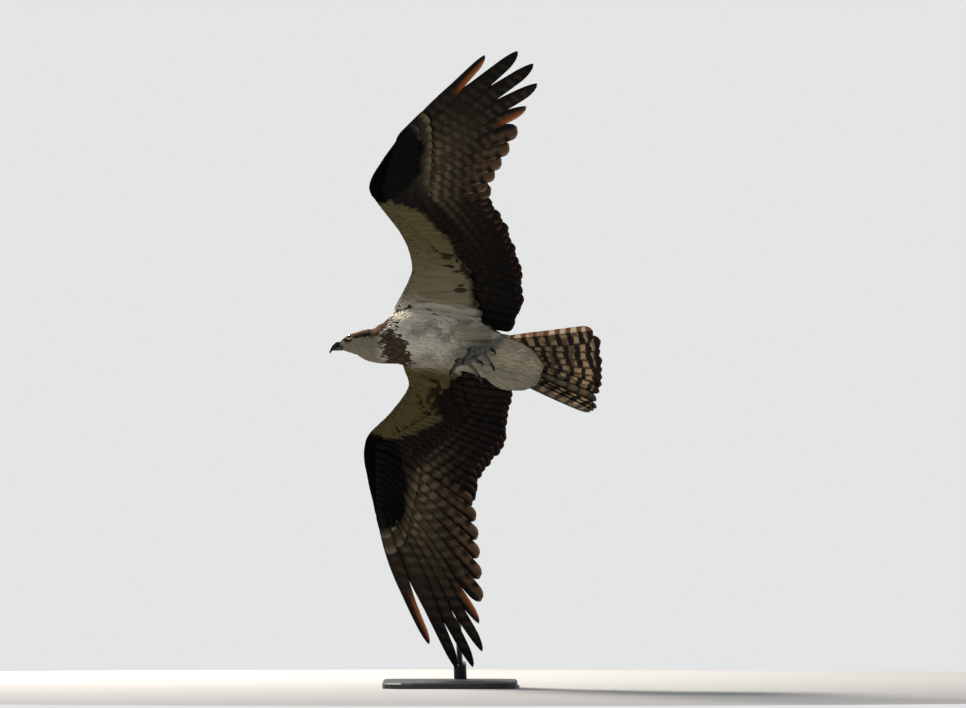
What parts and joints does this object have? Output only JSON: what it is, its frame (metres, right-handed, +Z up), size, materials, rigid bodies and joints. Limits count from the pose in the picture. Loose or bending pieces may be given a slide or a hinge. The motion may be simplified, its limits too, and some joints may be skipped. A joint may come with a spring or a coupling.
{
  "type": "osprey display model",
  "caption": "Life-size osprey in a banked glide, wings spread and tail fanned, held over a flat base by a slanting rod",
  "frame": {"origin": "Centre of the flat underside of the stand's base", "axes": "+Z up off the base; the bird heads to -X with its left wing high; its belly faces -Y and a little down, and the rod slants back to +Y"},
  "size_m": [0.5474, 0.7601, 1.2725],
  "materials": {
    "white_feather": "matte",
    "brown_feather": "satin",
    "tail_feather": "satin",
    "horn": "gloss",
    "eye": "gloss",
    "foot_skin": "matte",
    "stand_paint": "satin",
    "stand_steel": "satin"
  },
  "bodies": {
    "root": {"torso": "white_feather", "neck": "white_feather", "head": "white_feather", "bill_upper": "horn", "bill_lower": "horn", "eye_left": "eye", "eye_right": "eye", "wing_left": "brown_feather", "wing_right": "brown_feather", "tail": "tail_feather", "thigh_left": "white_feather", "thigh_right": "white_feather", "foot_left": "foot_skin", "foot_right": "foot_skin", "claw_left_1": "horn", "claw_left_2": "horn", "claw_left_3": "horn", "claw_left_4": "horn", "claw_right_1": "horn", "claw_right_2": "horn", "claw_right_3": "horn", "claw_right_4": "horn", "stand_base": "stand_paint", "stand_rod": "stand_steel"}
  },
  "joints": []
}
